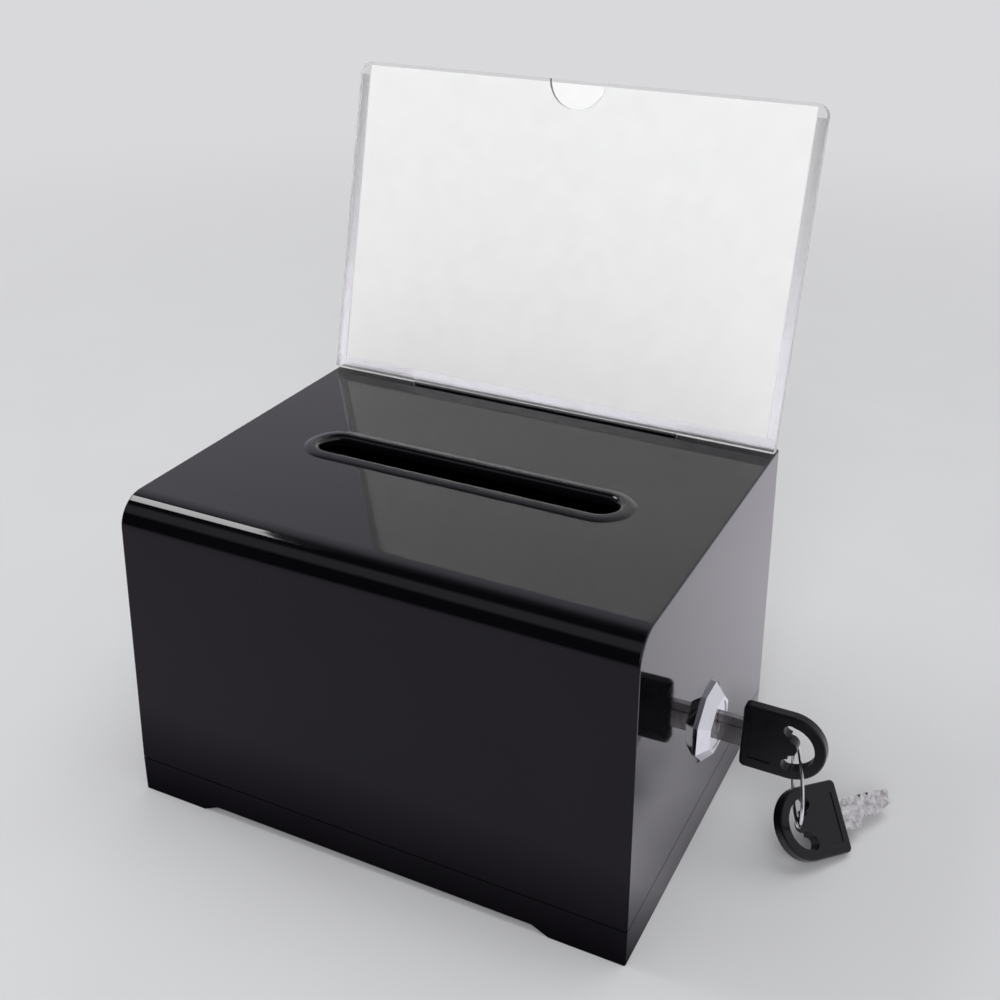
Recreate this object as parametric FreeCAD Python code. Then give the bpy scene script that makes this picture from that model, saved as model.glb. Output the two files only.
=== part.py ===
"""Countertop donation box: moulded box on a locking base, with a clear sign holder, a cam lock and two keys.

Millimetres, +Z up. The origin is the middle of the footprint on the plane of the feet.
+X is the lock side, +Y the rear, and the front faces -Y.
"""
import FreeCAD, Part
import math
import os
from FreeCAD import Vector

# Box and base
box_width = 157.5
box_depth = 120.0
box_height = 99.0
wall = 2.5
top_thickness = 2.5
draft_angle = 1.0
front_edge_radius = 9.0
edge_round = 0.6
seam_height = 11.5
seam_gap = 0.3

# Base tray
tray_floor_underside = 3.0
tray_floor_thickness = 2.5
skirt_thickness = 4.6
foot_length = 22.0
foot_slope = 5.0
foot_arch_height = 2.4
lip_height = 4.5
lip_thickness = 1.7
lip_gap = 0.4
tongue_width = 20.0
tongue_spacing = 70.0
tongue_reach = 1.0
tongue_bottom_above_axis = 1.15
tongue_thickness = 1.6
tongue_clearance = 0.45

# Coin and note slot in the top
slot_length = 96.0
slot_width = 10.5
bead_width = 5.0
bead_height = 0.8
bead_inner_round = 2.0

# Sign holder and its card
sign_width = 154.0
sign_height = 102.0
sign_tilt = 13.4
sign_front_from_rear = 6.0
sign_corner_radius = 4.0
front_panel_thickness = 1.5
back_panel_thickness = 1.2
pocket_gap = 0.7
side_strip_width = 3.0
bottom_strip_width = 4.0
thumb_notch_radius = 9.4
thumb_notch_rise = 0.7
card_thickness = 0.4
card_side_clearance = 0.3
card_top_gap = 1.0
tab_width = 93.0
tab_depth = 12.0
tab_clearance = 0.25
tab_front_gap = 1.2
socket_wall = 3.0
sign_rest_gap = 0.05

# Cam lock in the right wall
lock_height = 38.0
lock_depth_position = 0.0
bezel_sides = 8
bezel_across_flats = 21.8
bezel_rim_thickness = 0.8
bezel_thickness = 3.8
bezel_face_across_flats = 15.8
barrel_diameter = 19.0
barrel_flats = 16.5
barrel_length = 18.0
lock_hole_clearance = 0.2
seat_clearance = 0.3
lock_boss_diameter = 27.0
lock_boss_thickness = 3.5
plug_diameter = 13.0
plug_clearance = 0.1
plug_head_diameter = 13.8
plug_head_thickness = 1.5
plug_face_recess = 0.3
spur_washer_diameter = 25.0
spur_washer_thickness = 1.0
spur_count = 18
spur_notch_diameter = 1.8
nut_sides = 6
nut_across_flats = 24.0
nut_thickness = 4.0
thread_clearance = 0.02
tang_across_flats = 7.0
tang_clearance = 0.05
stop_washer_diameter = 18.0
stop_washer_thickness = 1.2
stop_gap = 0.1
stop_lug_inner_radius = 7.3
stop_lug_outer_radius = 8.5
stop_lug_angle = 24.0
stop_lug_length = 1.6
stop_spare_angle = 4.0
stop_pocket_clearance = 0.2
lock_turn = 90.0
cam_thickness = 2.0
cam_width = 10.0
cam_length = 25.0
cam_heel = 7.0
cam_washer_diameter = 9.0
cam_washer_thickness = 0.8
cam_screw_diameter = 4.0
cam_screw_head_diameter = 8.0
cam_screw_head_thickness = 2.4
cam_screw_depth = 5.0
screw_slot_width = 1.0
screw_slot_depth = 1.0
wafer_count = 4
wafer_pitch = 2.2
wafer_thickness = 0.8
wafer_width = 5.8
wafer_height = 10.8
wafer_clearance = 0.1
wafer_window_clearance = 0.3
first_wafer_depth = 2.6

# Catch on the base that the cam turns under
catch_thickness = 2.5
catch_width = 12.0
catch_jaw_length = 15.5
catch_foot_length = 18.5
catch_cam_clearance = 0.5
catch_post_clearance = 1.0
catch_screw_diameter = 3.5
catch_screw_head_diameter = 6.5
catch_screw_head_thickness = 2.0
catch_screw_inset = 4.0

# Keys and their ring
key_head_width = 20.8
key_head_straight = 13.6
key_head_thickness = 3.6
key_head_round = 0.7
key_head_corner_radius = 1.6
key_hole_radius = 7.3
key_hole_lobe_radius = 1.9
key_hole_lobe_offset = 5.6
key_hole_bump_radius = 2.4
key_panel_length = 6.5
key_panel_width = 14.0
key_panel_inset = 2.5
key_panel_depth = 0.25
blade_thickness = 1.8
blade_shoulder_height = 9.0
blade_shoulder_length = 7.3
blade_height = 6.6
blade_insert_length = 13.2
blade_tip_height = 4.4
blade_tip_length = 7.0
blade_tip_chamfer = 0.7
blade_cut_count = 3
blade_cut_depth = 0.9
blade_cut_half_width = 0.7
blade_groove_height = 1.5
blade_groove_depth = 0.4
blade_groove_offset = 0.9
blade_root_length = 5.0
blade_root_height = 6.0
keyway_clearance = 0.2
ring_diameter = 22.43
ring_wire_diameter = 1.0
ring_from_head = 16.7
ring_below_lock = 3.05
ring_lean = 8.18
ring_yaw = 21.48
second_key_round_ring = 12.92
second_key_grip_along = 16.5
second_key_grip_across = 1.83
second_key_yaw = -124.1
second_key_pitch = -10.7
second_key_roll = 41.9

# Places that follow from the sizes above
slope = math.tan(math.radians(draft_angle))
shell_bottom = seam_height + seam_gap
half_width = box_width / 2
half_depth = box_depth / 2
cavity_top = box_height - top_thickness
floor_top = tray_floor_underside + tray_floor_thickness
pivot_z = shell_bottom + wall / 2
pivot_inset = slope * (pivot_z - seam_height)
pivot_x = -half_width + pivot_inset + wall / 2
overrun = 5.0
same_place = 0.01
lock_y = lock_depth_position
seat_x = half_width - slope * (lock_height + bezel_across_flats / 2 + seat_clearance - seam_height)
boss_x = seat_x - lock_boss_thickness
barrel_end_x = seat_x - barrel_length
bezel_face_x = seat_x + bezel_thickness
plug_face_x = bezel_face_x - plug_face_recess
stop_washer_x = barrel_end_x - stop_gap
cam_front_x = stop_washer_x - stop_washer_thickness
cam_back_x = cam_front_x - cam_thickness
cam_washer_x = cam_back_x - cam_washer_thickness
key_stop_x = plug_face_x
key_head_x = key_stop_x + blade_shoulder_length
blade_rise = (blade_shoulder_height - blade_height) / 2
keyway_end_x = key_stop_x - blade_insert_length - keyway_clearance
rear_top_y = half_depth - slope * (box_height - seam_height)
sign_thickness = front_panel_thickness + pocket_gap + back_panel_thickness
sign_y = rear_top_y - sign_front_from_rear
sign_z = box_height + sign_rest_gap + sign_thickness * math.sin(math.radians(sign_tilt))

X_AXIS = Vector(1, 0, 0)
Y_AXIS = Vector(0, 1, 0)
lock_centre = Vector(0, lock_y, lock_height)


def block(x0, x1, y0, y1, z0, z1):
    """A box between two corners."""
    return Part.makeBox(x1 - x0, y1 - y0, z1 - z0, Vector(x0, y0, z0))


def outline(points):
    """A closed wire of straight edges."""
    return Part.makePolygon(points + [points[0]])


def prism(points, direction):
    """A flat outline pushed along a direction."""
    return Part.Face(outline(points)).extrude(direction)


def drafted_block(width_at_seam, depth_at_seam, z0, z1):
    """A block whose four walls lean in by the moulding draft, with its size given at the seam."""
    wires = []
    for z in (z0, z1):
        x = width_at_seam / 2 - slope * (z - seam_height)
        y = depth_at_seam / 2 - slope * (z - seam_height)
        corners = [Vector(-x, -y, z), Vector(x, -y, z), Vector(x, y, z), Vector(-x, y, z)]
        wires.append(outline(corners))
    return Part.makeLoft(wires, True, True)


def round_front_edge(solid, z, radius):
    """Rounds the long edge where the front meets the top."""
    edges = []
    for edge in solid.Edges:
        middle = edge.CenterOfMass
        if abs(middle.z - z) < same_place and middle.y < 0 and abs(middle.x) < same_place:
            edges.append(edge)
    return solid.makeFillet(radius, edges)


def soften_box_edges(solid):
    """Takes the sharpness off the box's upright edges and the edges of its top."""
    edges = []
    for edge in solid.Edges:
        middle = edge.CenterOfMass
        wall_x = half_width - slope * (middle.z - seam_height)
        on_side = abs(abs(middle.x) - wall_x) < same_place and middle.z > shell_bottom + same_place
        at_rear_top = abs(middle.z - box_height) < same_place and middle.y > half_depth / 2
        if on_side or at_rear_top:
            edges.append(edge)
    return solid.makeFillet(edge_round, edges)


def stadium(length, width, z0, z1):
    """An oblong with round ends, along X about the middle of the top."""
    radius = width / 2
    reach = length / 2 - radius
    body = block(-reach, reach, -radius, radius, z0, z1)
    for side in (-1, 1):
        body = body.fuse(Part.makeCylinder(radius, z1 - z0, Vector(side * reach, 0, z0)))
    return body.removeSplitter()


def lock_disc(diameter, x0, x1, angle=360.0):
    """A disc on the lock's axis between two places along X."""
    centre = lock_centre + Vector(x0, 0, 0)
    return Part.makeCylinder(diameter / 2, x1 - x0, centre, X_AXIS, angle)


def lock_polygon(sides, across_flats, x):
    """A regular polygon round the lock's axis, with a flat side on top."""
    radius = across_flats / 2 / math.cos(math.pi / sides)
    points = []
    for index in range(sides):
        angle = 2 * math.pi * (index + 0.5) / sides
        points.append(lock_centre + Vector(x, radius * math.sin(angle), radius * math.cos(angle)))
    return outline(points)


def lock_block(width, height, x0, x1, rise=0.0):
    """A block centred on the lock's axis, or raised from it."""
    y0 = lock_y - width / 2
    z0 = lock_height + rise - height / 2
    return block(x0, x1, y0, y0 + width, z0, z0 + height)


def make_base_tray():
    """Moulded tray: skirt with corner feet, floor, locating lip and two tongues on the left."""
    tray = block(-half_width, half_width, -half_depth, half_depth, 0, seam_height)
    upright_edges = [edge for edge in tray.Edges if abs(edge.CenterOfMass.z - seam_height / 2) < same_place]
    tray = tray.makeFillet(edge_round, upright_edges)
    inner_x = half_width - skirt_thickness
    inner_y = half_depth - skirt_thickness
    tray = tray.cut(block(-inner_x, inner_x, -inner_y, inner_y, floor_top, seam_height + overrun))
    tray = tray.cut(block(-inner_x, inner_x, -inner_y, inner_y, -overrun, tray_floor_underside))
    foot_end = half_width - foot_length
    arch = [
        Vector(-foot_end, -half_depth - overrun, 0),
        Vector(foot_end, -half_depth - overrun, 0),
        Vector(foot_end - foot_slope, -half_depth - overrun, foot_arch_height),
        Vector(-foot_end + foot_slope, -half_depth - overrun, foot_arch_height),
    ]
    tray = tray.cut(prism(arch, Vector(0, box_depth + 2 * overrun, 0)))
    lip_x = half_width - wall - lip_gap
    lip_y = half_depth - wall - lip_gap
    lip = block(-lip_x, lip_x, -lip_y, lip_y, floor_top, seam_height + lip_height)
    lip_inner_x = lip_x - lip_thickness
    lip_inner_y = lip_y - lip_thickness
    lip = lip.cut(block(-lip_inner_x, lip_inner_x, -lip_inner_y, lip_inner_y, 0, box_height))
    tray = tray.fuse(lip)
    for side in (-1, 1):
        tongue_y = side * tongue_spacing / 2
        tongue_z = pivot_z + tongue_bottom_above_axis
        tongue = block(
            -half_width + wall - tongue_reach, -lip_x + lip_thickness / 2,
            tongue_y - tongue_width / 2, tongue_y + tongue_width / 2,
            tongue_z, tongue_z + tongue_thickness,
        )
        tray = tray.fuse(tongue)
    for x, y in catch_screw_places():
        tray = tray.cut(Part.makeCylinder(catch_screw_diameter / 2, box_height, Vector(x, y, 0)))
    return tray.removeSplitter()


def catch_screw_places():
    """Where the two screws hold the catch's foot to the tray floor."""
    middle_x = (cam_front_x + cam_back_x) / 2
    foot_start = lock_y + cam_length + catch_post_clearance + catch_thickness
    foot_finish = lock_y + cam_length + catch_post_clearance + catch_foot_length
    return [(middle_x, foot_start + catch_screw_inset), (middle_x, foot_finish - catch_screw_inset)]


def make_cam_catch():
    """Bent steel strip: a foot on the tray floor, a post and a jaw over the locked cam."""
    middle_x = (cam_front_x + cam_back_x) / 2
    x0 = middle_x - catch_width / 2
    x1 = middle_x + catch_width / 2
    post_y = lock_y + cam_length + catch_post_clearance
    jaw_z = lock_height + cam_width / 2 + catch_cam_clearance
    foot = block(x0, x1, post_y, post_y + catch_foot_length, floor_top, floor_top + catch_thickness)
    post = block(x0, x1, post_y, post_y + catch_thickness, floor_top, jaw_z + catch_thickness)
    jaw = block(x0, x1, post_y + catch_thickness - catch_jaw_length, post_y + catch_thickness,
                jaw_z, jaw_z + catch_thickness)
    catch = foot.fuse([post, jaw]).removeSplitter()
    for x, y in catch_screw_places():
        catch = catch.cut(Part.makeCylinder(catch_screw_diameter / 2, box_height, Vector(x, y, 0)))
    return catch


def make_catch_screws():
    """Two pan-head screws through the catch's foot into the tray floor."""
    screws = []
    head_z = floor_top + catch_thickness
    for x, y in catch_screw_places():
        shank_radius = catch_screw_diameter / 2 - thread_clearance
        shank_length = head_z - tray_floor_underside
        shank = Part.makeCylinder(shank_radius, shank_length, Vector(x, y, tray_floor_underside))
        head_radius = catch_screw_head_diameter / 2
        head = Part.makeCylinder(head_radius, catch_screw_head_thickness, Vector(x, y, head_z))
        slot_reach = catch_screw_head_diameter
        slot_z = head_z + catch_screw_head_thickness - screw_slot_depth
        slot = block(x - slot_reach, x + slot_reach, y - screw_slot_width / 2, y + screw_slot_width / 2,
                     slot_z, slot_z + overrun)
        screws.append(shank.fuse(head).removeSplitter().cut(slot))
    return Part.makeCompound(screws)


def bead_profile(x):
    """Section of the slot's rim: a tight round into the slot and a long shallow one out to the top."""
    inner_y = slot_width / 2
    crest_y = inner_y + bead_inner_round
    outer_y = inner_y + bead_width
    crest_z = box_height + bead_height
    inner_low = Vector(x, inner_y, cavity_top)
    inner_high = Vector(x, inner_y, crest_z - bead_inner_round)
    crest = Vector(x, crest_y, crest_z)
    outer_high = Vector(x, outer_y, box_height)
    outer_low = Vector(x, outer_y, cavity_top)
    halfway = bead_inner_round * math.sqrt(0.5)
    inner_middle = Vector(x, crest_y - halfway, crest_z - bead_inner_round + halfway)
    run = bead_width - bead_inner_round
    outer_radius = (run ** 2 + bead_height ** 2) / (2 * bead_height)
    half_sweep = math.asin(run / outer_radius) / 2
    outer_drop = outer_radius * (1 - math.cos(half_sweep))
    outer_middle = crest + Vector(0, outer_radius * math.sin(half_sweep), -outer_drop)
    edges = [
        Part.makeLine(inner_low, inner_high),
        Part.Arc(inner_high, inner_middle, crest).toShape(),
        Part.Arc(crest, outer_middle, outer_high).toShape(),
        Part.makeLine(outer_high, outer_low),
        Part.makeLine(outer_low, inner_low),
    ]
    return Part.Face(Part.Wire(edges))


def make_slot_bead():
    """Low rounded rim round the coin slot, on the top."""
    reach = (slot_length - slot_width) / 2
    rear_side = bead_profile(-reach).extrude(Vector(2 * reach, 0, 0))
    front_side = rear_side.mirror(Vector(0, 0, 0), Y_AXIS)
    ends = []
    for side in (-1, 1):
        turn_axis = Vector(0, 0, -side)
        ends.append(bead_profile(side * reach).revolve(Vector(side * reach, 0, 0), turn_axis, 180.0))
    return rear_side.fuse([front_side] + ends).removeSplitter()


def tilted_with_sign(shape):
    """Leans a shape that was made upright in the sign's plane and stands it on the top."""
    shape.rotate(Vector(0, 0, 0), X_AXIS, -sign_tilt)
    shape.translate(Vector(0, sign_y, sign_z))
    return shape


def make_box_shell():
    """Moulded box: top, drafted walls, round front edge, slot, sign socket and lock seat in one piece."""
    outer = drafted_block(box_width, box_depth, shell_bottom, box_height)
    outer = soften_box_edges(round_front_edge(outer, box_height, front_edge_radius))
    inner = drafted_block(box_width - 2 * wall, box_depth - 2 * wall, seam_height, cavity_top)
    inner = round_front_edge(inner, cavity_top, front_edge_radius - wall)
    shell = outer.cut(inner)

    slot_opening = stadium(slot_length + 2 * bead_inner_round, slot_width + 2 * bead_inner_round,
                           cavity_top - overrun, box_height + overrun)
    shell = shell.cut(slot_opening)
    shell = shell.fuse(make_slot_bead())

    socket_floor = tab_depth + tab_clearance + socket_wall
    socket_half = tab_width / 2 + tab_clearance + socket_wall
    lean = tab_depth * math.tan(math.radians(sign_tilt))
    socket_front = sign_y - tab_front_gap - lean - 2 * socket_wall
    socket = block(-socket_half, socket_half, socket_front, rear_top_y - wall / 2,
                   box_height - socket_floor, box_height - top_thickness / 2)
    shell = shell.fuse(socket)
    tab_half = tab_width / 2 + tab_clearance
    tab_slot = block(-tab_half, tab_half, -tab_front_gap, front_panel_thickness + tab_clearance,
                     -tab_depth - tab_clearance, overrun)
    shell = shell.cut(tilted_with_sign(tab_slot))

    shell = shell.fuse(lock_disc(lock_boss_diameter, boss_x, seat_x))
    seat_diameter = bezel_across_flats / math.cos(math.pi / bezel_sides) + 2 * seat_clearance
    shell = shell.cut(lock_disc(seat_diameter, seat_x, seat_x + overrun))
    hole = lock_disc(barrel_diameter + 2 * lock_hole_clearance, boss_x - overrun, seat_x + overrun)
    flats = lock_block(barrel_flats + 2 * lock_hole_clearance, box_height, boss_x - overrun, seat_x + overrun)
    shell = shell.cut(hole.common(flats))

    edge_cut = block(-half_width - overrun, pivot_x + wall / 2, -half_depth - overrun,
                     half_depth + overrun, shell_bottom - overrun, pivot_z)
    edge_start = Vector(pivot_x, -half_depth + pivot_inset, pivot_z)
    edge_length = box_depth - 2 * pivot_inset
    round_edge = Part.makeCylinder(wall / 2, edge_length, edge_start, Y_AXIS).common(edge_cut)
    shell = shell.cut(edge_cut).fuse(round_edge.common(outer))
    notch_half = tongue_width / 2 + tongue_clearance
    notch_top = pivot_z + tongue_bottom_above_axis + tongue_thickness + tongue_clearance
    for side in (-1, 1):
        tongue_y = side * tongue_spacing / 2
        notch = block(-half_width + wall - tongue_reach - lip_gap, -half_width + wall + overrun,
                      tongue_y - notch_half, tongue_y + notch_half, shell_bottom - overrun, notch_top)
        shell = shell.cut(notch)
    return shell.removeSplitter()


def sign_panel(thickness, setback):
    """A clear sheet the size of the sign, with its two top corners rounded."""
    half = sign_width / 2
    panel = block(-half, half, setback, setback + thickness, 0, sign_height)
    corners = []
    for edge in panel.Edges:
        middle = edge.CenterOfMass
        if abs(middle.z - sign_height) < same_place and abs(abs(middle.x) - half) < same_place:
            corners.append(edge)
    return panel.makeFillet(sign_corner_radius, corners)


def make_sign_front_panel():
    """Front sheet with a thumb notch in its top edge and the tab that stands in the box top."""
    panel = sign_panel(front_panel_thickness, 0)
    notch_centre = Vector(0, -overrun, sign_height + thumb_notch_rise)
    panel = panel.cut(Part.makeCylinder(thumb_notch_radius, 2 * overrun, notch_centre, Y_AXIS))
    tab = block(-tab_width / 2, tab_width / 2, 0, front_panel_thickness, -tab_depth, bottom_strip_width)
    return tilted_with_sign(panel.fuse(tab).removeSplitter())


def make_sign_back_panel():
    """Plain back sheet."""
    return tilted_with_sign(sign_panel(back_panel_thickness, front_panel_thickness + pocket_gap))


def make_side_strip(side):
    """Spacer strip between the sheets along one side edge, below the rounded corner."""
    half = sign_width / 2
    near = side * (half - side_strip_width)
    far = side * half
    strip = block(min(near, far), max(near, far), front_panel_thickness, front_panel_thickness + pocket_gap,
                  bottom_strip_width, sign_height - sign_corner_radius)
    return tilted_with_sign(strip)


def make_bottom_strip():
    """Spacer strip between the sheets along the bottom edge."""
    half = sign_width / 2
    front = front_panel_thickness
    strip = block(-half, half, front, front + pocket_gap, 0, bottom_strip_width)
    return tilted_with_sign(strip)


def make_insert_card():
    """Blank card standing in the pocket on the bottom strip."""
    half = sign_width / 2 - side_strip_width - card_side_clearance
    front = front_panel_thickness + (pocket_gap - card_thickness) / 2
    card = block(-half, half, front, front + card_thickness, bottom_strip_width,
                 sign_height - card_top_gap)
    return tilted_with_sign(card)


def stop_sector(inner_radius, outer_radius, x0, x1, angle, start):
    """A sector of a ring round the lock's axis, turned about it by the start angle."""
    ring = lock_disc(2 * outer_radius, x0, x1, angle).cut(lock_disc(2 * inner_radius, x0, x1))
    ring.rotate(lock_centre, X_AXIS, start)
    return ring


def make_lock_housing():
    """Chromed die-cast barrel with an eight-sided bevelled bezel."""
    rim_outline = lock_polygon(bezel_sides, bezel_across_flats, seat_x)
    rim = Part.Face(rim_outline).extrude(Vector(bezel_rim_thickness, 0, 0))
    bevel_start = lock_polygon(bezel_sides, bezel_across_flats, seat_x + bezel_rim_thickness)
    bevel_end = lock_polygon(bezel_sides, bezel_face_across_flats, bezel_face_x)
    bevel = Part.makeLoft([bevel_start, bevel_end], True, True)
    barrel = lock_disc(barrel_diameter, barrel_end_x, seat_x + bezel_rim_thickness / 2)
    barrel = barrel.common(lock_block(barrel_flats, box_height, barrel_end_x - overrun, seat_x + overrun))
    housing = barrel.fuse([rim, bevel]).removeSplitter()
    bore = plug_diameter + 2 * plug_clearance
    housing = housing.cut(lock_disc(bore, barrel_end_x - overrun, bezel_face_x + overrun))
    head_space = lock_disc(plug_head_diameter + 2 * plug_clearance,
                           plug_face_x - plug_head_thickness - plug_clearance, bezel_face_x + overrun)
    housing = housing.cut(head_space)
    pocket = stop_sector(
        stop_lug_inner_radius - stop_pocket_clearance, stop_lug_outer_radius + stop_pocket_clearance,
        barrel_end_x - overrun, barrel_end_x + stop_lug_length + stop_pocket_clearance,
        lock_turn + stop_lug_angle + 2 * stop_spare_angle, -stop_lug_angle / 2 - stop_spare_angle,
    )
    return housing.cut(pocket)


def make_spur_washer():
    """Toothed washer between the nut and the inside of the wall."""
    back_x = boss_x - spur_washer_thickness
    washer = lock_disc(spur_washer_diameter, back_x, boss_x)
    hole = barrel_diameter + 2 * lock_hole_clearance
    washer = washer.cut(lock_disc(hole, boss_x - overrun, boss_x + overrun))
    rim = spur_washer_diameter / 2
    for index in range(spur_count):
        angle = 2 * math.pi * index / spur_count
        place = lock_centre + Vector(back_x - overrun, rim * math.sin(angle), rim * math.cos(angle))
        washer = washer.cut(Part.makeCylinder(spur_notch_diameter / 2, 2 * overrun, place, X_AXIS))
    return washer


def make_lock_nut():
    """Hexagon nut that clamps the lock in the wall."""
    front_x = boss_x - spur_washer_thickness
    nut_outline = lock_polygon(nut_sides, nut_across_flats, front_x)
    nut = Part.Face(nut_outline).extrude(Vector(-nut_thickness, 0, 0))
    bore = barrel_diameter + 2 * thread_clearance
    return nut.cut(lock_disc(bore, front_x - 2 * nut_thickness, front_x + overrun))


def wafer_places():
    """Middle of each wafer along X."""
    return [key_stop_x - first_wafer_depth - index * wafer_pitch for index in range(wafer_count)]


def make_lock_plug():
    """Turning plug with its head, keyway, wafer slots, square tang and tapped hole."""
    plug = lock_disc(plug_diameter, barrel_end_x, plug_face_x)
    plug = plug.fuse(lock_disc(plug_head_diameter, plug_face_x - plug_head_thickness, plug_face_x))
    tang_end_x = cam_front_x - cam_thickness / 2
    tang = lock_block(tang_across_flats, tang_across_flats, tang_end_x, barrel_end_x)
    plug = plug.fuse(tang).removeSplitter()
    keyway = lock_block(blade_thickness + 2 * keyway_clearance, blade_height + 2 * keyway_clearance,
                        keyway_end_x, plug_face_x + overrun, blade_rise)
    plug = plug.cut(keyway)
    for x in wafer_places():
        reach = wafer_thickness / 2 + wafer_clearance
        plug = plug.cut(lock_block(wafer_width + 2 * wafer_clearance, wafer_height + 2 * wafer_clearance,
                                   x - reach, x + reach))
    return plug.cut(lock_disc(cam_screw_diameter, tang_end_x - overrun, barrel_end_x + cam_screw_depth))


def make_wafer_tumblers():
    """Flat brass wafers, each with a window for the key, in the plug's slots."""
    wafers = []
    for x in wafer_places():
        wafer = lock_block(wafer_width, wafer_height, x - wafer_thickness / 2, x + wafer_thickness / 2)
        window_width = blade_thickness + 2 * wafer_window_clearance
        window_height = blade_height + 2 * wafer_window_clearance
        window = lock_block(window_width, window_height, x - wafer_thickness, x + wafer_thickness, blade_rise)
        wafers.append(wafer.cut(window))
    return Part.makeCompound(wafers)


def make_stop_washer():
    """Washer on the tang, with a lug that runs in the barrel's pocket and limits the turn."""
    washer = lock_disc(stop_washer_diameter, cam_front_x, stop_washer_x)
    lug = stop_sector(stop_lug_inner_radius, stop_lug_outer_radius, stop_washer_x - stop_washer_thickness / 2,
                      barrel_end_x + stop_lug_length, stop_lug_angle, -stop_lug_angle / 2)
    hole = tang_across_flats + 2 * tang_clearance
    tang_hole = lock_block(hole, hole, cam_front_x - overrun, stop_washer_x + overrun)
    return washer.fuse(lug).removeSplitter().cut(tang_hole)


def make_lock_cam():
    """Flat steel cam on the tang. It hangs down when unlocked and turns to the rear to lock."""
    half = cam_width / 2
    tip_z = lock_height - cam_length + half
    heel_z = lock_height + cam_heel
    bar = block(cam_back_x, cam_front_x, lock_y - half, lock_y + half, tip_z, heel_z)
    tip = Part.makeCylinder(half, cam_thickness, Vector(cam_back_x, lock_y, tip_z), X_AXIS)
    hole = tang_across_flats + 2 * tang_clearance
    tang_hole = lock_block(hole, hole, cam_back_x - overrun, cam_front_x + overrun)
    return bar.fuse(tip).removeSplitter().cut(tang_hole)


def make_cam_washer():
    """Spring washer under the cam screw's head."""
    washer = lock_disc(cam_washer_diameter, cam_washer_x, cam_back_x)
    hole = cam_screw_diameter + 2 * tang_clearance
    return washer.cut(lock_disc(hole, cam_washer_x - overrun, cam_back_x + overrun))


def make_cam_screw():
    """Slotted screw that holds the cam on the plug."""
    head_x = cam_washer_x - cam_screw_head_thickness
    head = lock_disc(cam_screw_head_diameter, head_x, cam_washer_x)
    shank_end_x = barrel_end_x + cam_screw_depth - thread_clearance
    shank = lock_disc(cam_screw_diameter - 2 * thread_clearance, cam_washer_x, shank_end_x)
    slot = lock_block(screw_slot_width, box_height, head_x - overrun, head_x + screw_slot_depth)
    return head.fuse(shank).removeSplitter().cut(slot)


def key_blade_points():
    """Outline of the blade in the key's own plane, from its root in the head along its top to the tip."""
    root = blade_root_height / 2
    shoulder = blade_shoulder_height / 2
    low = shoulder - blade_height
    tip_low = shoulder - blade_tip_height
    shoulder_x = -blade_shoulder_length
    end_x = shoulder_x - blade_insert_length
    taper_x = end_x + blade_tip_length
    cut_pitch = (blade_insert_length - blade_tip_length) / (blade_cut_count + 1)
    cuts = [shoulder_x - cut_pitch * (index + 1) for index in range(blade_cut_count)]
    reach = blade_cut_half_width
    points = [(blade_root_length, root), (0, root), (0, shoulder)]
    for x in cuts[::2]:
        points += [(x + reach, shoulder), (x, shoulder - blade_cut_depth), (x - reach, shoulder)]
    points += [(end_x + blade_tip_chamfer, shoulder), (end_x, shoulder - blade_tip_chamfer)]
    points += [(end_x, tip_low), (taper_x, low)]
    for x in reversed(cuts):
        points += [(x - reach, low), (x, low + blade_cut_depth), (x + reach, low)]
    points += [(shoulder_x, low), (shoulder_x, -shoulder), (0, -shoulder)]
    points += [(0, -root), (blade_root_length, -root)]
    return points


def make_key_blade():
    """Nickelled brass blade, in the key's own place: head edge at zero, tip towards -X, height along Z."""
    points = [Vector(x, -blade_thickness / 2, z) for x, z in key_blade_points()]
    blade = prism(points, Vector(0, blade_thickness, 0))
    end_x = -blade_shoulder_length - blade_insert_length
    for side in (-1, 1):
        face = side * blade_thickness / 2
        groove_z = blade_rise + blade_groove_offset - blade_groove_height / 2
        groove = block(end_x - overrun, 0, face - blade_groove_depth, face + blade_groove_depth,
                       groove_z, groove_z + blade_groove_height)
        blade = blade.cut(groove)
    return blade


def make_key_head():
    """Moulded plastic head with a round bow, a kidney hole and a plain recess on each face."""
    half = key_head_width / 2
    front = -key_head_thickness / 2
    bow = Part.makeCylinder(half, key_head_thickness, Vector(key_head_straight, front, 0), Y_AXIS)
    head = block(0, key_head_straight, front, -front, -half, half)
    corners = []
    for edge in head.Edges:
        middle = edge.CenterOfMass
        if abs(middle.x) < same_place and abs(abs(middle.z) - half) < same_place:
            corners.append(edge)
    head = head.makeFillet(key_head_corner_radius, corners)
    head = head.fuse(bow).removeSplitter()
    rims = [edge for edge in head.Edges if abs(abs(edge.CenterOfMass.y) + front) < same_place]
    head = head.makeFillet(key_head_round, rims)

    through = 2 * key_head_thickness
    start = -key_head_thickness
    hole = Part.makeCylinder(key_hole_radius, through, Vector(key_head_straight, start, 0), Y_AXIS)
    hole = hole.common(block(key_head_straight, key_head_straight + half, start, -start, -half, half))
    bump = Part.makeCylinder(key_hole_bump_radius, through, Vector(key_head_straight, start, 0), Y_AXIS)
    hole = hole.cut(bump)
    for side in (-1, 1):
        lobe_place = Vector(key_head_straight, start, side * key_hole_lobe_offset)
        hole = hole.fuse(Part.makeCylinder(key_hole_lobe_radius, through, lobe_place, Y_AXIS))
    head = head.cut(hole.removeSplitter())

    for side in (-1, 1):
        face = side * key_head_thickness / 2
        panel = block(key_panel_inset, key_panel_inset + key_panel_length, face - key_panel_depth,
                      face + key_panel_depth, -key_panel_width / 2, key_panel_width / 2)
        head = head.cut(panel)
    return head.cut(make_key_blade())


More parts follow.
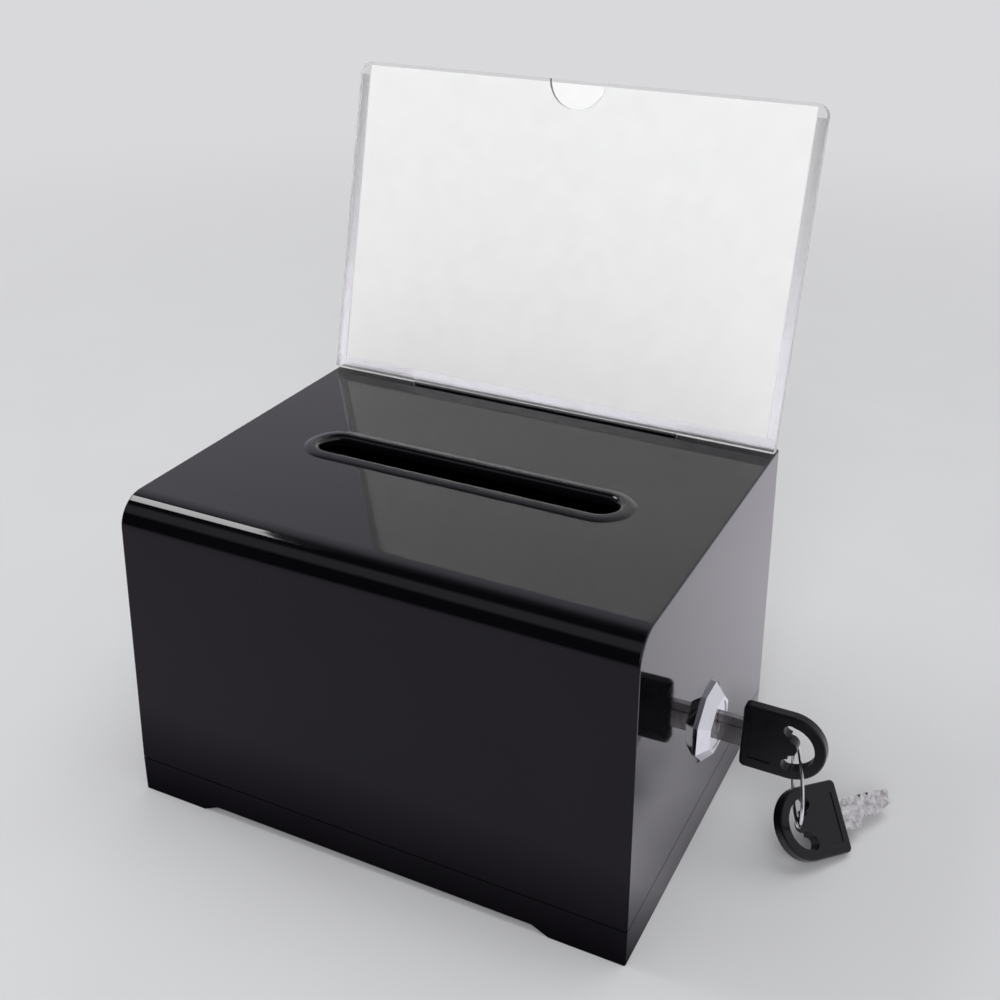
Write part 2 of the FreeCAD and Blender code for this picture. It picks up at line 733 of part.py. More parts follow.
def first_key_placement():
    """Pushed home in the lock, with the blade upright in the keyway."""
    return FreeCAD.Placement(Vector(key_head_x, lock_y, lock_height), FreeCAD.Rotation())


def ring_directions():
    """Downward direction of the ring in its plane, and its wire's direction at the top."""
    lean = math.radians(ring_lean)
    yaw = math.radians(ring_yaw)
    down = Vector(0, math.sin(lean), -math.cos(lean))
    across = down.cross(X_AXIS)
    wire = X_AXIS * math.sin(yaw) + across * math.cos(yaw)
    return down, wire


def ring_top():
    """Middle of the wire where it passes through the first key's hole."""
    return Vector(key_head_x + ring_from_head, lock_y, lock_height - ring_below_lock)


def make_key_ring():
    """Closed steel wire ring through the holes of both heads."""
    down, wire = ring_directions()
    centre = ring_top() + down * (ring_diameter / 2)
    return Part.makeTorus(ring_diameter / 2, ring_wire_diameter / 2, centre, wire.cross(down))


def second_key_grip():
    """Middle of the wire where it passes through the second key's hole."""
    down, wire = ring_directions()
    around = math.radians(second_key_round_ring)
    spoke = down * math.cos(around) + wire * math.sin(around)
    return ring_top() + (down + spoke) * (ring_diameter / 2)


def second_key_placement():
    """Leaning on the table, with the ring through its hole."""
    turn = FreeCAD.Rotation(second_key_yaw, second_key_pitch, second_key_roll)
    held = turn.multVec(Vector(second_key_grip_along, 0, second_key_grip_across))
    return FreeCAD.Placement(second_key_grip() - held, turn)


def placed(shape, placement):
    """The shape moved to a placement."""
    shape.Placement = placement.multiply(shape.Placement)
    return shape


parts = {
    "base_tray": make_base_tray(),
    "cam_catch": make_cam_catch(),
    "catch_screws": make_catch_screws(),
    "box_shell": make_box_shell(),
    "sign_front_panel": make_sign_front_panel(),
    "sign_back_panel": make_sign_back_panel(),
    "sign_strip_left": make_side_strip(-1),
    "sign_strip_right": make_side_strip(1),
    "sign_strip_bottom": make_bottom_strip(),
    "insert_card": make_insert_card(),
    "lock_housing": make_lock_housing(),
    "spur_washer": make_spur_washer(),
    "lock_nut": make_lock_nut(),
    "lock_plug": make_lock_plug(),
    "wafer_tumblers": make_wafer_tumblers(),
    "stop_washer": make_stop_washer(),
    "lock_cam": make_lock_cam(),
    "cam_washer": make_cam_washer(),
    "cam_screw": make_cam_screw(),
    "key_1_blade": placed(make_key_blade(), first_key_placement()),
    "key_1_head": placed(make_key_head(), first_key_placement()),
    "key_ring": make_key_ring(),
    "key_2_blade": placed(make_key_blade(), second_key_placement()),
    "key_2_head": placed(make_key_head(), second_key_placement()),
}

os.makedirs("parts", exist_ok=True)
for name, shape in parts.items():
    shape.exportStep("parts/" + name + ".step")
    print(name, "solids", len(shape.Solids), "valid", shape.isValid(), "volume", round(shape.Volume, 1))
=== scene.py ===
import math

import bpy
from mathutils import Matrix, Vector

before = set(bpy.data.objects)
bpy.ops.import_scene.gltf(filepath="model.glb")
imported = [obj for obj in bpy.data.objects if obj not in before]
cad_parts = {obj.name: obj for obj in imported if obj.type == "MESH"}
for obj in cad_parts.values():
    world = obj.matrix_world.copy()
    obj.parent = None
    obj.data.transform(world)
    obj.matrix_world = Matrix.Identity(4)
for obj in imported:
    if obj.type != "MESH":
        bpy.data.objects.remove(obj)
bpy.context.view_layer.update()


# Base tray
# The tray is one injection moulding in black ABS, with a foot at each corner and a floor for the money.
# The box stands on its rim, and a lip inside the rim keeps the two in line.

MM = 0.001


def colour(hex_code):
    """The linear colour of an sRGB hex value."""
    channels = []
    for start in (1, 3, 5):
        value = int(hex_code[start:start + 2], 16) / 255
        if value <= 0.04045:
            channels.append(value / 12.92)
        else:
            channels.append(((value + 0.055) / 1.055) ** 2.4)
    return (*channels, 1.0)


def add_node(tree, kind, settings=(), links=()):
    """Adds a node, gives it its settings and joins other nodes' outputs to its inputs."""
    made = tree.nodes.new(kind)
    for name, value in dict(settings).items():
        if isinstance(name, str) and hasattr(made, name):
            setattr(made, name, value)
        else:
            made.inputs[name].default_value = value
    for name, source in dict(links).items():
        tree.links.new(source, made.inputs[name])
    return made


def new_finish(name):
    """Starts a material. Gives it, its nodes, and the place on the piece in metres."""
    material = bpy.data.materials.new(name)
    material.use_nodes = True
    material.node_tree.nodes.clear()
    place = add_node(material.node_tree, "ShaderNodeTexCoord").outputs["Object"]
    return material, material.node_tree, place


def dress(material, *names):
    """Gives the named CAD pieces a finish."""
    for name in names:
        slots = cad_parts[name].data.materials
        slots.clear()
        slots.append(material)


# ABS, a styrene plastic, from a polished mould: black right through and mirror-like.
# It shows a slow waviness where it shrank, faint wiping marks and a few specks of dust.
flow_mark_width = 35 * MM
wipe_mark_length = 40 * MM
wipe_mark_slant = math.radians(24)
# Slimness is a mark's length over its width.
wipe_mark_slimness = 14.0
shrink_mark_width = 26 * MM
shrink_mark_depth = 0.012 * MM
# Dust is a tenth of a millimetre across. It is drawn at twice that so that it shows.
dust_spacing = 9 * MM
dust_core_radius = 0.108 * MM
dust_edge_radius = 0.18 * MM
black_abs, tree, place = new_finish("black_abs_moulded_gloss")
melt_flow = add_node(
    tree, "ShaderNodeTexNoise", {"Scale": 1 / flow_mark_width, "Detail": 2.0}, {"Vector": place},
)
body_colour = add_node(
    tree, "ShaderNodeMix", {"data_type": "RGBA", 6: colour("#040305"), 7: colour("#09080b")},
    {"Factor": melt_flow.outputs["Fac"]},
)
dust = add_node(tree, "ShaderNodeTexVoronoi", {"Scale": 1 / dust_spacing}, {"Vector": place})
dust_speck = add_node(
    tree, "ShaderNodeMapRange",
    {
        "From Min": dust_core_radius / dust_spacing,
        "From Max": dust_edge_radius / dust_spacing,
        "To Min": 1.0,
        "To Max": 0.0,
    },
    {"Value": dust.outputs["Distance"]},
)
dusty_colour = add_node(
    tree, "ShaderNodeMix", {"data_type": "RGBA", 7: colour("#343438")},
    {"Factor": dust_speck.outputs["Result"], 6: body_colour.outputs[2]},
)
wipe_grain = add_node(
    tree, "ShaderNodeMapping",
    {"Rotation": (0.0, 0.0, wipe_mark_slant), "Scale": (1.0, wipe_mark_slimness, wipe_mark_slimness)},
    {"Vector": place},
)
wipe = add_node(
    tree, "ShaderNodeTexNoise", {"Scale": 1 / wipe_mark_length, "Detail": 5.0, "Roughness": 0.65},
    {"Vector": wipe_grain.outputs["Vector"]},
)
gloss = add_node(
    tree, "ShaderNodeMapRange", {"From Min": 0.35, "From Max": 0.8, "To Min": 0.03, "To Max": 0.1},
    {"Value": wipe.outputs["Fac"]},
)
shrink = add_node(
    tree, "ShaderNodeTexNoise", {"Scale": 1 / shrink_mark_width, "Detail": 1.0}, {"Vector": place},
)
waviness = add_node(
    tree, "ShaderNodeBump", {"Strength": 1.0, "Distance": shrink_mark_depth},
    {"Height": shrink.outputs["Fac"]},
)
shader = add_node(
    tree, "ShaderNodeBsdfPrincipled", {"IOR": 1.5},
    {
        "Base Color": dusty_colour.outputs[2],
        "Roughness": gloss.outputs["Result"],
        "Normal": waviness.outputs["Normal"],
    },
)
add_node(tree, "ShaderNodeOutputMaterial", {}, {"Surface": shader.outputs["BSDF"]})
dress(black_abs, "base_tray")


# Catch and its screws
# A bent strip of zinc-plated mild steel, held to the tray floor by two pan-head screws.
# The lock's cam turns under its jaw to hold the box down.

# Bright zinc on steel: a pale blue-grey bloom with a faint yellow cast, and rolling marks in the strip.
bloom_width = 5 * MM
roll_mark_length = 6 * MM
roll_mark_slimness = 20.0
roll_mark_depth = 0.02 * MM
zinc_steel, tree, place = new_finish("zinc_plated_steel_rolled")
bloom = add_node(
    tree, "ShaderNodeTexNoise", {"Scale": 1 / bloom_width, "Detail": 3.0}, {"Vector": place},
)
zinc_colour = add_node(
    tree, "ShaderNodeMix", {"data_type": "RGBA", 6: colour("#b4bac2"), 7: colour("#d2cfc4")},
    {"Factor": bloom.outputs["Fac"]},
)
roll_grain = add_node(
    tree, "ShaderNodeMapping", {"Scale": (roll_mark_slimness, 1.0, 1.0)}, {"Vector": place},
)
roll_marks = add_node(
    tree, "ShaderNodeTexNoise", {"Scale": 1 / roll_mark_length, "Detail": 4.0},
    {"Vector": roll_grain.outputs["Vector"]},
)
zinc_gloss = add_node(
    tree, "ShaderNodeMapRange", {"From Min": 0.3, "From Max": 0.7, "To Min": 0.24, "To Max": 0.42},
    {"Value": roll_marks.outputs["Fac"]},
)
roll_relief = add_node(
    tree, "ShaderNodeBump", {"Strength": 0.4, "Distance": roll_mark_depth},
    {"Height": roll_marks.outputs["Fac"]},
)
shader = add_node(
    tree, "ShaderNodeBsdfPrincipled", {"Metallic": 1.0},
    {
        "Base Color": zinc_colour.outputs[2],
        "Roughness": zinc_gloss.outputs["Result"],
        "Normal": roll_relief.outputs["Normal"],
    },
)
add_node(tree, "ShaderNodeOutputMaterial", {}, {"Surface": shader.outputs["BSDF"]})
dress(zinc_steel, "cam_catch", "catch_screws")


# Box shell
# The box is moulded in one shot from the same black ABS, with a round front edge and a rimmed slot.
# It drops over the tray's lip, and its left edge hooks under the tray's tongues.

dress(black_abs, "box_shell")


# Sign holder
# Two clear polystyrene sheets, bonded along strips at the sides and the bottom so that a card slides
# between. A tab on the front sheet stands in the slot behind the coin slot.

# Clear sheet, extruded and sawn: it passes nearly all light, and its sawn edges scatter it and look pale.
handling_mark_width = 30 * MM
sign_lean = math.radians(13.4)
clear_sheet, tree, place = new_finish("clear_polystyrene_extruded_sheet")
handling = add_node(
    tree, "ShaderNodeTexNoise", {"Scale": 1 / handling_mark_width, "Detail": 4.0}, {"Vector": place},
)
sheet_gloss = add_node(
    tree, "ShaderNodeMapRange", {"From Min": 0.45, "From Max": 0.8, "To Min": 0.0, "To Max": 0.06},
    {"Value": handling.outputs["Fac"]},
)
# A sawn edge is a face that stands square to the sheet, which leans back with the sign.
facing = add_node(
    tree, "ShaderNodeVectorMath",
    {"operation": "DOT_PRODUCT", 1: (0.0, -math.cos(sign_lean), math.sin(sign_lean))},
    {0: place.node.outputs["Normal"]},
)
flatness = add_node(tree, "ShaderNodeMath", {"operation": "ABSOLUTE"}, {0: facing.outputs["Value"]})
sawn_gloss = add_node(
    tree, "ShaderNodeMapRange", {"From Min": 0.4, "From Max": 0.8, "To Min": 0.4, "To Max": 0.0},
    {"Value": flatness.outputs["Value"]},
)
sheet_roughness = add_node(
    tree, "ShaderNodeMath", {"operation": "ADD"},
    {0: sheet_gloss.outputs["Result"], 1: sawn_gloss.outputs["Result"]},
)
shader = add_node(
    tree, "ShaderNodeBsdfPrincipled",
    {"Base Color": colour("#fdfdfd"), "IOR": 1.58, "Transmission Weight": 1.0},
    {"Roughness": sheet_roughness.outputs["Value"]},
)
# A clear sheet lets the lamps' light through to the card behind it.
passing = add_node(tree, "ShaderNodeBsdfTransparent", {"Color": colour("#fefefe")})
sheet_rays = add_node(tree, "ShaderNodeLightPath")
light_rays = add_node(
    tree, "ShaderNodeMath", {"operation": "MAXIMUM"},
    {0: sheet_rays.outputs["Is Shadow Ray"], 1: sheet_rays.outputs["Is Diffuse Ray"]},
)
shader = add_node(
    tree, "ShaderNodeMixShader", {},
    {0: light_rays.outputs["Value"], 1: shader.outputs["BSDF"], 2: passing.outputs["BSDF"]},
)
add_node(tree, "ShaderNodeOutputMaterial", {}, {"Surface": shader.outputs["Shader"]})
dress(
    clear_sheet,
    "sign_front_panel", "sign_back_panel", "sign_strip_left", "sign_strip_right", "sign_strip_bottom",
)


# Insert card
# A plain white card, cut to fit the pocket.
# It stands loose on the bottom strip, between the two sheets.

# Uncoated card: matt and white, with a cloudy look and a fibre that can be felt.
cloud_width = 6 * MM
# Card fibre is finer than a tenth of a millimetre. It is drawn at half a millimetre so that it shows.
fibre_width = 0.5 * MM
fibre_depth = 0.02 * MM
card_stock, tree, place = new_finish("white_card_uncoated")
cloud = add_node(
    tree, "ShaderNodeTexNoise", {"Scale": 1 / cloud_width, "Detail": 4.0}, {"Vector": place},
)
card_colour = add_node(
    tree, "ShaderNodeMix", {"data_type": "RGBA", 6: colour("#f3f3f3"), 7: colour("#fdfdfd")},
    {"Factor": cloud.outputs["Fac"]},
)
fibre = add_node(
    tree, "ShaderNodeTexNoise", {"Scale": 1 / fibre_width, "Detail": 2.0}, {"Vector": place},
)
fibre_relief = add_node(
    tree, "ShaderNodeBump", {"Strength": 0.3, "Distance": fibre_depth}, {"Height": fibre.outputs["Fac"]},
)
shader = add_node(
    tree, "ShaderNodeBsdfPrincipled", {"Roughness": 0.8},
    {"Base Color": card_colour.outputs[2], "Normal": fibre_relief.outputs["Normal"]},
)
add_node(tree, "ShaderNodeOutputMaterial", {}, {"Surface": shader.outputs["BSDF"]})
dress(card_stock, "insert_card")


# Lock housing, washer and nut
# The housing is a zinc die casting, polished and chromed, with an eight-sided bevelled bezel outside the
# wall. Inside, a steel spur washer and a hexagon nut on the barrel clamp it.

# Chrome over polished zinc: a cool mirror with slight haze from the polishing.
haze_width = 4 * MM
buffing_depth = 0.006 * MM
chrome, tree, place = new_finish("chromed_zinc_polished")
haze = add_node(
    tree, "ShaderNodeTexNoise", {"Scale": 1 / haze_width, "Detail": 3.0}, {"Vector": place},
)
chrome_colour = add_node(
    tree, "ShaderNodeMix", {"data_type": "RGBA", 6: colour("#d3d5d8"), 7: colour("#e4e5e7")},
    {"Factor": haze.outputs["Fac"]},
)
chrome_gloss = add_node(
    tree, "ShaderNodeMapRange", {"From Min": 0.3, "From Max": 0.75, "To Min": 0.03, "To Max": 0.12},
    {"Value": haze.outputs["Fac"]},
)
buffing = add_node(
    tree, "ShaderNodeBump", {"Strength": 0.5, "Distance": buffing_depth}, {"Height": haze.outputs["Fac"]},
)
shader = add_node(
    tree, "ShaderNodeBsdfPrincipled", {"Metallic": 1.0},
    {
        "Base Color": chrome_colour.outputs[2],
        "Roughness": chrome_gloss.outputs["Result"],
        "Normal": buffing.outputs["Normal"],
    },
)
add_node(tree, "ShaderNodeOutputMaterial", {}, {"Surface": shader.outputs["BSDF"]})
dress(chrome, "lock_housing")
dress(zinc_steel, "spur_washer", "lock_nut")


# Plug, wafers and cam
# The chromed plug turns in the housing with four brass wafers in its slots. On its square tail sit the
# stop washer, the cam, a spring washer and a slotted screw, all in zinc-plated steel.

# Rolled brass, punched: warm yellow, slightly dulled.
tarnish_width = 1.5 * MM
brass, tree, place = new_finish("brass_punched")
tarnish = add_node(
    tree, "ShaderNodeTexNoise", {"Scale": 1 / tarnish_width, "Detail": 3.0}, {"Vector": place},
)
brass_colour = add_node(
    tree, "ShaderNodeMix", {"data_type": "RGBA", 6: colour("#b08d3c"), 7: colour("#d8bb66")},
    {"Factor": tarnish.outputs["Fac"]},
)
brass_gloss = add_node(
    tree, "ShaderNodeMapRange", {"To Min": 0.2, "To Max": 0.4}, {"Value": tarnish.outputs["Fac"]},
)
shader = add_node(
    tree, "ShaderNodeBsdfPrincipled", {"Metallic": 1.0},
    {"Base Color": brass_colour.outputs[2], "Roughness": brass_gloss.outputs["Result"]},
)
add_node(tree, "ShaderNodeOutputMaterial", {}, {"Surface": shader.outputs["BSDF"]})
dress(chrome, "lock_plug")
dress(brass, "wafer_tumblers")
dress(zinc_steel, "stop_washer", "lock_cam", "cam_washer", "cam_screw")


# Keys
# Each key is a blade of nickel-plated brass, with cuts along its edges and a groove along each face.
# Its head is black plastic moulded over the blade's root, with a kidney-shaped hole for the ring.

# Nickel plate on a milled blank: a pale grey metal with fine cutter lines across the blade, dull in spots
# from wear.
wear_spot_width = 1.6 * MM
# Cutter lines are less than a tenth of a millimetre apart. They are drawn 0.6 mm apart so that they show.
cutter_spacing = 0.6 * MM
cutter_depth = 0.01 * MM
# The wave pattern has 20 radians to a unit.
waves_per_unit = 20 / (2 * math.pi)
nickel, tree, place = new_finish("nickel_plated_brass_milled")
cutter_lines = add_node(
    tree, "ShaderNodeTexWave",
    {"Scale": 1 / (waves_per_unit * cutter_spacing), "Distortion": 1.5, "Detail": 2.0},
    {"Vector": place},
)
wear = add_node(
    tree, "ShaderNodeTexNoise", {"Scale": 1 / wear_spot_width, "Detail": 3.0}, {"Vector": place},
)
wear_spots = add_node(
    tree, "ShaderNodeMapRange", {"From Min": 0.36, "From Max": 0.64}, {"Value": wear.outputs["Fac"]},
)
nickel_colour = add_node(
    tree, "ShaderNodeMix", {"data_type": "RGBA", 6: colour("#a3a2a0"), 7: colour("#d3d2d0")},
    {"Factor": wear_spots.outputs["Result"]},
)
nickel_gloss = add_node(
    tree, "ShaderNodeMapRange", {"To Min": 0.27, "To Max": 0.16}, {"Value": wear_spots.outputs["Result"]},
)
cutter_relief = add_node(
    tree, "ShaderNodeBump", {"Strength": 0.5, "Distance": cutter_depth},
    {"Height": cutter_lines.outputs["Fac"]},
)
shader = add_node(
    tree, "ShaderNodeBsdfPrincipled", {"Metallic": 1.0},
    {
        "Base Color": nickel_colour.outputs[2],
        "Roughness": nickel_gloss.outputs["Result"],
        "Normal": cutter_relief.outputs["Normal"],
    },
)
add_node(tree, "ShaderNodeOutputMaterial", {}, {"Surface": shader.outputs["BSDF"]})
dress(nickel, "key_1_blade", "key_2_blade")

# Plastic from a mould with a fine spark-eroded surface: black and satin, rubbed smoother where held.
rubbed_width = 7 * MM
# The eroded grain is about a twentieth of a millimetre. It is drawn at a fifth so that it shows.
eroded_grain_width = 0.2 * MM
eroded_grain_depth = 0.02 * MM
head_plastic, tree, place = new_finish("black_abs_moulded_satin")
rubbed = add_node(
    tree, "ShaderNodeTexNoise", {"Scale": 1 / rubbed_width, "Detail": 2.0}, {"Vector": place},
)
head_colour = add_node(
    tree, "ShaderNodeMix", {"data_type": "RGBA", 6: colour("#040405"), 7: colour("#08080a")},
    {"Factor": rubbed.outputs["Fac"]},
)
head_gloss = add_node(
    tree, "ShaderNodeMapRange", {"From Min": 0.3, "From Max": 0.7, "To Min": 0.24, "To Max": 0.4},
    {"Value": rubbed.outputs["Fac"]},
)
eroded_grain = add_node(
    tree, "ShaderNodeTexNoise", {"Scale": 1 / eroded_grain_width, "Detail": 2.0}, {"Vector": place},
)
grain_relief = add_node(
    tree, "ShaderNodeBump", {"Strength": 0.35, "Distance": eroded_grain_depth},
    {"Height": eroded_grain.outputs["Fac"]},
)
shader = add_node(
    tree, "ShaderNodeBsdfPrincipled", {"IOR": 1.53, "Specular IOR Level": 0.28},
    {
        "Base Color": head_colour.outputs[2],
        "Roughness": head_gloss.outputs["Result"],
        "Normal": grain_relief.outputs["Normal"],
    },
)
add_node(tree, "ShaderNodeOutputMaterial", {}, {"Surface": shader.outputs["BSDF"]})
dress(head_plastic, "key_1_head", "key_2_head")


# Key ring
# A ring of thin spring-steel wire, drawn through a die and bent round.
# It passes through the holes of both heads.

# Drawn and polished wire: bright, with small dull marks from the die.
die_mark_length = 0.6 * MM
wire, tree, place = new_finish("spring_steel_wire_drawn")
die_marks = add_node(
    tree, "ShaderNodeTexNoise", {"Scale": 1 / die_mark_length, "Detail": 3.0}, {"Vector": place},
)
wire_colour = add_node(
    tree, "ShaderNodeMix", {"data_type": "RGBA", 6: colour("#bfc1c4"), 7: colour("#dcdddf")},
    {"Factor": die_marks.outputs["Fac"]},
)
wire_gloss = add_node(
    tree, "ShaderNodeMapRange", {"To Min": 0.1, "To Max": 0.26}, {"Value": die_marks.outputs["Fac"]},
)
shader = add_node(
    tree, "ShaderNodeBsdfPrincipled", {"Metallic": 1.0},
    {"Base Color": wire_colour.outputs[2], "Roughness": wire_gloss.outputs["Result"]},
)
add_node(tree, "ShaderNodeOutputMaterial", {}, {"Surface": shader.outputs["BSDF"]})
dress(wire, "key_ring")


# Studio floor
# A sheet of pale, matt paper, laid flat and far out under the object.
# It is lit like the object, and further off it runs into the backdrop. In reflections its colour is
# painted: painted light beside and behind the box, painted shade and shadow in front of it.

floor_reach = 12.0
floor_mesh = bpy.data.meshes.new("studio_floor")
floor_mesh.from_pydata(
    [
        (-floor_reach, -floor_reach, 0),
        (floor_reach, -floor_reach, 0),
        (floor_reach, floor_reach, 0),
        (-floor_reach, floor_reach, 0),
    ],
    [], [(0, 1, 2, 3)],
)
floor = bpy.data.objects.new("studio_floor", floor_mesh)
bpy.context.scene.collection.objects.link(floor)
paper_mottle_width = 60 * MM
paper, tree, place = new_finish("pale_paper_sweep_painted_reflection")
mottle = add_node(
    tree, "ShaderNodeTexNoise", {"Scale": 1 / paper_mottle_width, "Detail": 2.0}, {"Vector": place},
)
paper_colour = add_node(
    tree, "ShaderNodeMix", {"data_type": "RGBA", 6: colour("#cacacd"), 7: colour("#cecfd0")},
    {"Factor": mottle.outputs["Fac"]},
)
# In the box's gloss the paper's colour is painted: a painted pool of light beside and behind the box,
# painted shade in front and to the left with a painted shadow darkest close to the box, and painted
# darkness some way in front. Each range runs from one place to another.
paper_place = add_node(tree, "ShaderNodeSeparateXYZ", {}, {"Vector": place})
to_right = add_node(
    tree, "ShaderNodeMapRange", {"From Min": 66 * MM, "From Max": 94 * MM},
    {"Value": paper_place.outputs["X"]},
)
level_with_box = add_node(
    tree, "ShaderNodeMapRange", {"From Min": -60 * MM, "From Max": -30 * MM},
    {"Value": paper_place.outputs["Y"]},
)
beside = add_node(
    tree, "ShaderNodeMath", {"operation": "MULTIPLY"},
    {0: to_right.outputs["Result"], 1: level_with_box.outputs["Result"]},
)
to_rear = add_node(
    tree, "ShaderNodeMapRange", {"From Min": 0.0, "From Max": 80 * MM},
    {"Value": paper_place.outputs["Y"]},
)
# Painted light: beside and behind the box the paper in reflections is painted paler than the paper
# itself.
painted_light_zone = add_node(
    tree, "ShaderNodeMath", {"operation": "MAXIMUM"},
    {0: beside.outputs["Value"], 1: to_rear.outputs["Result"]},
)
to_front = add_node(
    tree, "ShaderNodeMapRange", {"From Min": -62 * MM, "From Max": -95 * MM},
    {"Value": paper_place.outputs["Y"]},
)
to_left = add_node(
    tree, "ShaderNodeMapRange", {"From Min": -81 * MM, "From Max": -140 * MM},
    {"Value": paper_place.outputs["X"]},
)
clear_of_painted_shadow = add_node(
    tree, "ShaderNodeMath", {"operation": "MAXIMUM"},
    {0: to_front.outputs["Result"], 1: to_left.outputs["Result"]},
)
# Painted shade in front and to the left of the box, with a painted shadow darkest close to it.
painted_shade_colour = add_node(
    tree, "ShaderNodeMix", {"data_type": "RGBA", 6: colour("#3d3942"), 7: colour("#928d9a")},
    {"Factor": clear_of_painted_shadow.outputs["Value"]},
)
# Painted darkness: further in front the paper in reflections is painted the dark room's colour.
painted_dark_front = add_node(
    tree, "ShaderNodeMapRange", {"From Min": -300 * MM, "From Max": -640 * MM},
    {"Value": paper_place.outputs["Y"]},
)
dark_room = colour("#0b0a0d")
painted_dark_front_colour = add_node(
    tree, "ShaderNodeMix", {"data_type": "RGBA", 7: dark_room},
    {"Factor": painted_dark_front.outputs["Result"], 6: painted_shade_colour.outputs[2]},
)
painted_reflection_colour = add_node(
    tree, "ShaderNodeMix", {"data_type": "RGBA", 7: colour("#f9f6ff")},
    {"Factor": painted_light_zone.outputs["Value"], 6: painted_dark_front_colour.outputs[2]},
)
# Only reflections get the painted light and shade; the camera sees the plain paper.
paper_rays = add_node(tree, "ShaderNodeLightPath")
seen_colour = add_node(
    tree, "ShaderNodeMix", {"data_type": "RGBA"},
    {
        "Factor": paper_rays.outputs["Is Glossy Ray"],
        6: paper_colour.outputs[2],
        7: painted_reflection_colour.outputs[2],
    },
)
shader = add_node(
    tree, "ShaderNodeBsdfPrincipled", {"Roughness": 0.9, "Specular IOR Level": 0.1},
    {"Base Color": seen_colour.outputs[2]},
)
# Far from the lamps the paper is seen in the backdrop's colour, so that the two run into each other.
fade_start = 0.25
fade_end = 1.0
backdrop_colour = colour("#d9d9db")
from_box = add_node(tree, "ShaderNodeVectorMath", {"operation": "LENGTH"}, {0: place})
far_off = add_node(
    tree, "ShaderNodeMapRange",
    {"From Min": fade_start, "From Max": fade_end, "interpolation_type": "SMOOTHSTEP"},
    {"Value": from_box.outputs["Value"]},
)
looked_at = add_node(
    tree, "ShaderNodeMath", {"operation": "MAXIMUM"},
    {0: paper_rays.outputs["Is Camera Ray"], 1: paper_rays.outputs["Is Transmission Ray"]},
)
far_seen = add_node(
    tree, "ShaderNodeMath", {"operation": "MULTIPLY"},
    {0: far_off.outputs["Result"], 1: looked_at.outputs["Value"]},
)
far_paper = add_node(tree, "ShaderNodeEmission", {"Color": backdrop_colour, "Strength": 1.0})
shader = add_node(
    tree, "ShaderNodeMixShader", {},
    {0: far_seen.outputs["Value"], 1: shader.outputs["BSDF"], 2: far_paper.outputs["Emission"]},
)
add_node(tree, "ShaderNodeOutputMaterial", {}, {"Surface": shader.outputs["Shader"]})
floor_mesh.materials.append(paper)


# Studio surround
# A pale room round the object, even for light and for the eye. In reflections it is a pale sweep behind
# the object and a pale wall on the right, with a dim ceiling in front and darkness between.

world = bpy.data.worlds.new("studio_surround")
bpy.context.scene.world = world
world.use_nodes = True
tree = world.node_tree
tree.nodes.clear()
direction = add_node(tree, "ShaderNodeTexCoord").outputs["Generated"]
axes = add_node(tree, "ShaderNodeSeparateXYZ", {}, {"Vector": direction})
frontward = add_node(
    tree, "ShaderNodeMath", {"operation": "MULTIPLY", 1: -1.0}, {0: axes.outputs["Y"]},
)
lift_angle = add_node(
    tree, "ShaderNodeMath", {"operation": "ARCTAN2"},
    {0: axes.outputs["Z"], 1: frontward.outputs["Value"]},
)
lift_share = add_node(
    tree, "ShaderNodeMapRange", {"From Min": 0.0, "From Max": math.pi},
    {"Value": lift_angle.outputs["Value"]},
)
# Each stop is an angle in degrees, from level in front, over the top, to level behind, and its colour.
room_stops = [
    (28, dark_room),
    (37, colour("#9c99a2")),
    (58, colour("#9c99a2")),
    (67, dark_room),
    (86, dark_room),
    (99, colour("#5d5b62")),
    (114, colour("#b7b4be")),
    (124, colour("#cac7d2")),
]
room = add_node(tree, "ShaderNodeValToRGB", {}, {"Fac": lift_share.outputs["Result"]})
ramp_stops = room.color_ramp.elements
while len(ramp_stops) < len(room_stops):
    ramp_stops.new(1.0)
for stop, (angle, shade) in zip(ramp_stops, room_stops):
    stop.position = angle / 180
    stop.color = shade
# The wall's ranges are parts of a direction of length 1, to the right and upward.
to_right_wall = add_node(
    tree, "ShaderNodeMapRange", {"From Min": 0.2, "From Max": 0.5}, {"Value": axes.outputs["X"]},
)
below_wall_top = add_node(
    tree, "ShaderNodeMapRange", {"From Min": 0.4, "From Max": 0.8, "To Min": 1.0, "To Max": 0.35},
    {"Value": axes.outputs["Z"]},
)
right_wall = add_node(
    tree, "ShaderNodeMath", {"operation": "MULTIPLY"},
    {0: to_right_wall.outputs["Result"], 1: below_wall_top.outputs["Result"]},
)
reflected_room = add_node(
    tree, "ShaderNodeMix", {"data_type": "RGBA", 7: colour("#e2e0e8")},
    {"Factor": right_wall.outputs["Value"], 6: room.outputs["Color"]},
)
rays = add_node(tree, "ShaderNodeLightPath")
even_light = add_node(
    tree, "ShaderNodeBackground", {"Color": colour("#ffffff"), "Strength": 0.53},
)
reflected = add_node(
    tree, "ShaderNodeBackground", {"Strength": 1.0}, {"Color": reflected_room.outputs[2]},
)
backdrop = add_node(tree, "ShaderNodeBackground", {"Color": backdrop_colour, "Strength": 1.0})
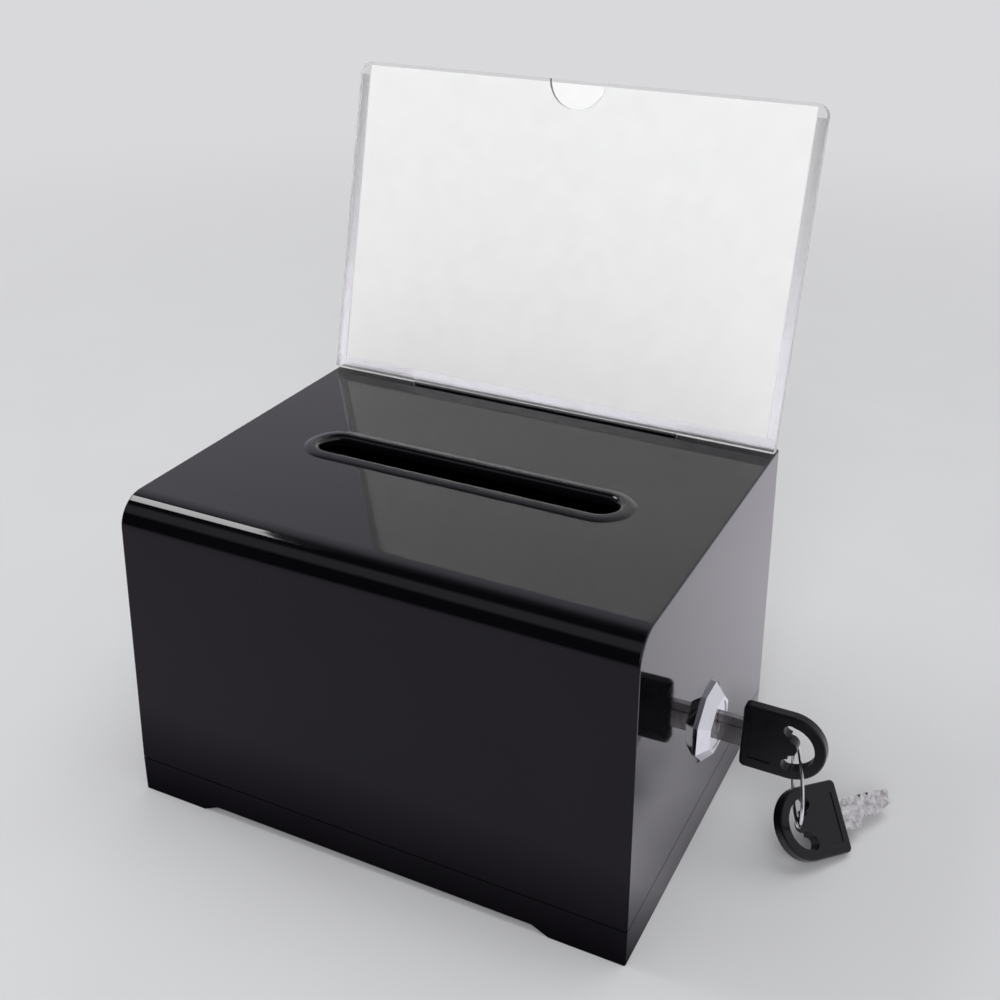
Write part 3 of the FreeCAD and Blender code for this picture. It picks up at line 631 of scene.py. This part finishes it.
with_reflection = add_node(
    tree, "ShaderNodeMixShader", {},
    {0: rays.outputs["Is Glossy Ray"], 1: even_light.outputs[0], 2: reflected.outputs[0]},
)
seen = add_node(
    tree, "ShaderNodeMath", {"operation": "MAXIMUM"},
    {0: rays.outputs["Is Camera Ray"], 1: rays.outputs["Is Transmission Ray"]},
)
surround = add_node(
    tree, "ShaderNodeMixShader", {},
    {0: seen.outputs["Value"], 1: with_reflection.outputs[0], 2: backdrop.outputs[0]},
)
add_node(tree, "ShaderNodeOutputWorld", {}, {"Surface": surround.outputs[0]})


# Lamps and camera
# Three soft lamps: a small one on the left that shows as a streak in the front edge, and two large ones
# overhead and in front that don't show in the gloss. The camera has the photograph's viewing angle.


def add_softbox(name, place, aim, width, height, watts):
    """A soft lamp that faces a point."""
    lamp = bpy.data.lights.new(name, "AREA")
    lamp.shape = "RECTANGLE"
    lamp.size = width
    lamp.size_y = height
    lamp.energy = watts
    softbox = bpy.data.objects.new(name, lamp)
    softbox.location = place
    softbox.rotation_euler = (Vector(aim) - Vector(place)).to_track_quat("-Z", "Y").to_euler()
    bpy.context.scene.collection.objects.link(softbox)
    return softbox


middle = (0.0, 0.0, 0.07)
add_softbox("left_softbox", place=(-0.93, -0.04, 1.15), aim=middle, width=0.42, height=0.4, watts=4.1)
overhead = add_softbox(
    "overhead_softbox", place=(0.3, 0.2, 1.6), aim=middle, width=1.0, height=1.0, watts=7.2,
)
front_fill = add_softbox(
    "front_fill", place=(0.6, -1.6, 1.2), aim=middle, width=1.2, height=1.2, watts=19.5,
)
for softbox in (overhead, front_fill):
    softbox.visible_glossy = False

# The lens and the place were solved from the box's edges in the photograph.
camera = bpy.data.cameras.new("photo_view")
camera.sensor_width = 36.0
camera.lens = 47.83
camera.shift_y = -0.06
camera_object = bpy.data.objects.new("photo_view", camera)
camera_object.location = (161.36 * MM, -304.96 * MM, 270.06 * MM)
camera_object.rotation_euler = (math.radians(65.087), math.radians(-0.428), math.radians(26.320))
bpy.context.scene.collection.objects.link(camera_object)
bpy.context.scene.camera = camera_object
bpy.context.scene.view_settings.view_transform = "Standard"
